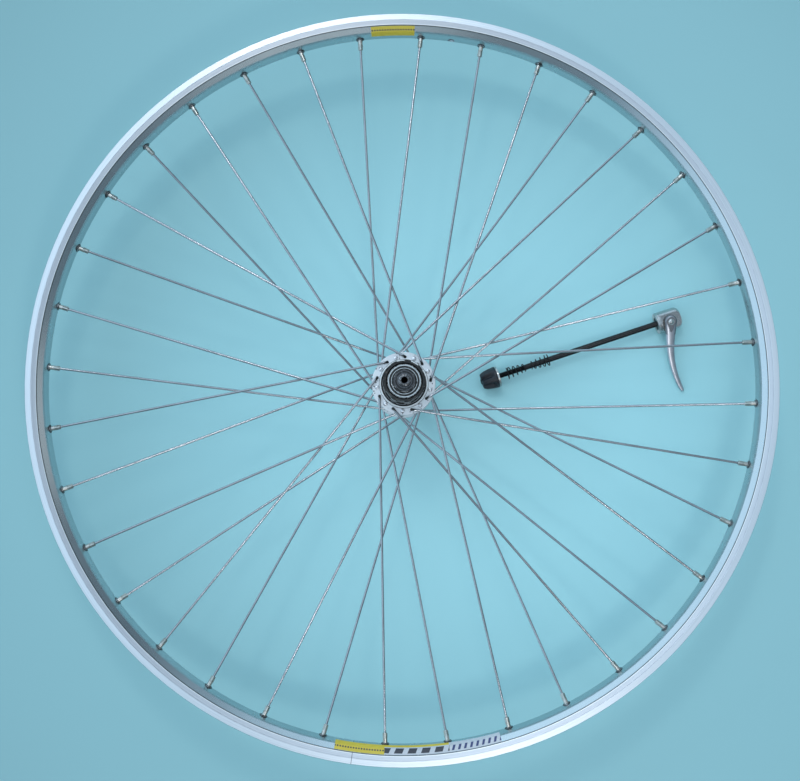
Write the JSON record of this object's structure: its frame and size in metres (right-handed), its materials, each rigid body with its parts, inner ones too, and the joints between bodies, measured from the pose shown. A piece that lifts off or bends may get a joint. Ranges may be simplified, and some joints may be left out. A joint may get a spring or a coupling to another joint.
{
  "type": "bicycle rear wheel with quick release skewer",
  "caption": "Spoked bicycle rear wheel with box-section rim, flanged hub and splined freehub, lying flat with its quick-release skewer drawn out beside the hub.",
  "frame": {"origin": "middle of the axle, on its axis, in the rim's mid-plane", "axes": "+Z along the axle towards the drive side; +X towards the side where the skewer lies; the wheel lies flat, and the non-drive end of the axle and the skewer rest on one level surface"},
  "size_m": [0.6339, 0.634, 0.141],
  "materials": {
    "axle_steel": "turned steel, lightly greased",
    "hard_steel": "ground bearing steel",
    "dark_steel": "blackened steel, greasy",
    "seal_rubber": "black rubber",
    "rim_alloy": "satin silver with machined brake tracks",
    "label_film": "yellow printed film with plain dark marks, worn",
    "eyelet_steel": "plated steel",
    "nipple_nickel": "nickel-plated, a little dull",
    "spoke_steel": "drawn stainless wire",
    "hub_alloy": "satin cold-forged alloy",
    "cap_steel": "pressed bright steel",
    "spring_steel": "spring wire",
    "ball_steel": "polished balls",
    "freehub_steel": "dark steel under old grease",
    "rod_black": "black, half gloss",
    "housing_alloy": "polished silver",
    "bush_plastic": "black nylon",
    "ring_steel": "bright plated steel",
    "lever_alloy": "satin silver",
    "nut_black": "black, moulded",
    "spring_black": "black oxide wire"
  },
  "bodies": {
    "axle": {"axle": "axle_steel", "drive_cone": "hard_steel", "drive_lock_washer": "dark_steel", "drive_locknut": "dark_steel", "drive_seal": "seal_rubber", "nondrive_cone": "hard_steel", "nondrive_spacer": "axle_steel", "nondrive_lock_washer": "dark_steel", "nondrive_locknut": "dark_steel", "nondrive_seal": "seal_rubber"},
    "wheel": {"rim": "rim_alloy", "rim_joint_sleeve": "rim_alloy", "rim_label_short": "label_film", "rim_label_long": "label_film", "eyelets": "eyelet_steel", "nipples_drive": "nipple_nickel", "nipples_nondrive": "nipple_nickel", "spokes_drive_elbow_out": "spoke_steel", "spokes_drive_elbow_in": "spoke_steel", "spokes_nondrive_elbow_out": "spoke_steel", "spokes_nondrive_elbow_in": "spoke_steel", "hub_shell": "hub_alloy", "nondrive_cup": "hard_steel", "nondrive_dust_cap": "cap_steel", "freehub_core": "hard_steel", "freehub_fixing_bolt": "dark_steel", "drive_cup": "hard_steel", "drive_dust_cap": "cap_steel", "freehub_seal": "seal_rubber", "pawl_springs": "spring_steel"},
    "drive_ball_set": {"drive_balls": "ball_steel"},
    "nondrive_ball_set": {"nondrive_balls": "ball_steel"},
    "freehub": {"freehub_body": "freehub_steel"},
    "freehub_ball_set": {"freehub_balls_inboard": "ball_steel", "freehub_balls_outboard": "ball_steel"},
    "pawl_a": {"pawl_a": "hard_steel"},
    "pawl_b": {"pawl_b": "hard_steel"},
    "skewer": {"skewer_rod": "rod_black"},
    "housing": {"cam_housing": "housing_alloy", "housing_bush": "bush_plastic", "housing_face_ring": "ring_steel"},
    "lever": {"lever": "lever_alloy", "cam_shaft": "ring_steel"},
    "nut_washer": {"nut_washer": "ring_steel"},
    "nut": {"adjusting_nut": "nut_black"},
    "spring_nut_side": {"spring_nut_side": "spring_black"},
    "spring_lever_side": {"spring_lever_side": "spring_black"}
  },
  "joints": [
    {"name": "wheel_spin", "type": "hinge", "parent": "axle", "child": "wheel", "pos_m": [0, 0, 0], "axis": [0, 0, 1], "continuous": true},
    {"name": "drive_balls_roll", "type": "hinge", "parent": "axle", "child": "drive_ball_set", "pos_m": [0, 0, 0.0515], "axis": [0, 0, 1], "continuous": true},
    {"name": "nondrive_balls_roll", "type": "hinge", "parent": "axle", "child": "nondrive_ball_set", "pos_m": [0, 0, -0.0416], "axis": [0, 0, 1], "continuous": true},
    {"name": "freehub_spin", "type": "hinge", "parent": "wheel", "child": "freehub", "pos_m": [0, 0, 0.041], "axis": [0, 0, 1], "continuous": true},
    {"name": "freehub_balls_roll", "type": "hinge", "parent": "wheel", "child": "freehub_ball_set", "pos_m": [0, 0, 0.034], "axis": [0, 0, 1], "continuous": true},
    {"name": "pawl_a_tilt", "type": "hinge", "parent": "wheel", "child": "pawl_a", "pos_m": [0, 0.0112, 0.0335], "axis": [0, 0, -1], "range_deg": [0, 14]},
    {"name": "pawl_b_tilt", "type": "hinge", "parent": "wheel", "child": "pawl_b", "pos_m": [0, -0.0112, 0.0335], "axis": [0, 0, -1], "range_deg": [0, 14]},
    {"name": "skewer_draw", "type": "slide", "parent": "axle", "child": "skewer", "axis": [0.9489, 0.3156, 0], "range_m": [0, 0.3]},
    {"name": "housing_pull", "type": "slide", "parent": "skewer", "child": "housing", "axis": [-0.9489, -0.3156, 0], "range_m": [0, 0.0012]},
    {"name": "lever_swing", "type": "hinge", "parent": "housing", "child": "lever", "pos_m": [0.23821, 0.0624, -0.06095], "axis": [0.0785, -0.236, 0.9686], "range_deg": [0, 180]},
    {"name": "nut_travel", "type": "slide", "parent": "skewer", "child": "nut_washer", "axis": [0.9489, 0.3156, 0], "range_m": [-0.0024, 0.0008]},
    {"name": "nut_turn", "type": "hinge", "parent": "nut_washer", "child": "nut", "pos_m": [0.0861, 0.0118, -0.06095], "axis": [0.9489, 0.3156, 0], "range_deg": [-1080, 360]},
    {"name": "spring_nut_side_slide", "type": "slide", "parent": "skewer", "child": "spring_nut_side", "axis": [0.9489, 0.3156, 0], "range_m": [-0.005, 0.002]},
    {"name": "spring_lever_side_slide", "type": "slide", "parent": "skewer", "child": "spring_lever_side", "axis": [0.9489, 0.3156, 0], "range_m": [-0.002, 0.09]}
  ],
  "couplings": [
    {"joint": "drive_balls_roll", "follows": "wheel_spin", "ratio": 0.6169},
    {"joint": "nondrive_balls_roll", "follows": "wheel_spin", "ratio": 0.6169},
    {"joint": "freehub_balls_roll", "follows": "freehub_spin", "ratio": 0.5584},
    {"joint": "pawl_b_tilt", "follows": "pawl_a_tilt", "ratio": 1},
    {"joint": "housing_pull", "follows": "lever_swing", "m_per_rad": 0.00038197},
    {"joint": "nut_travel", "follows": "nut_turn", "m_per_rad": 0.00012732}
  ]
}
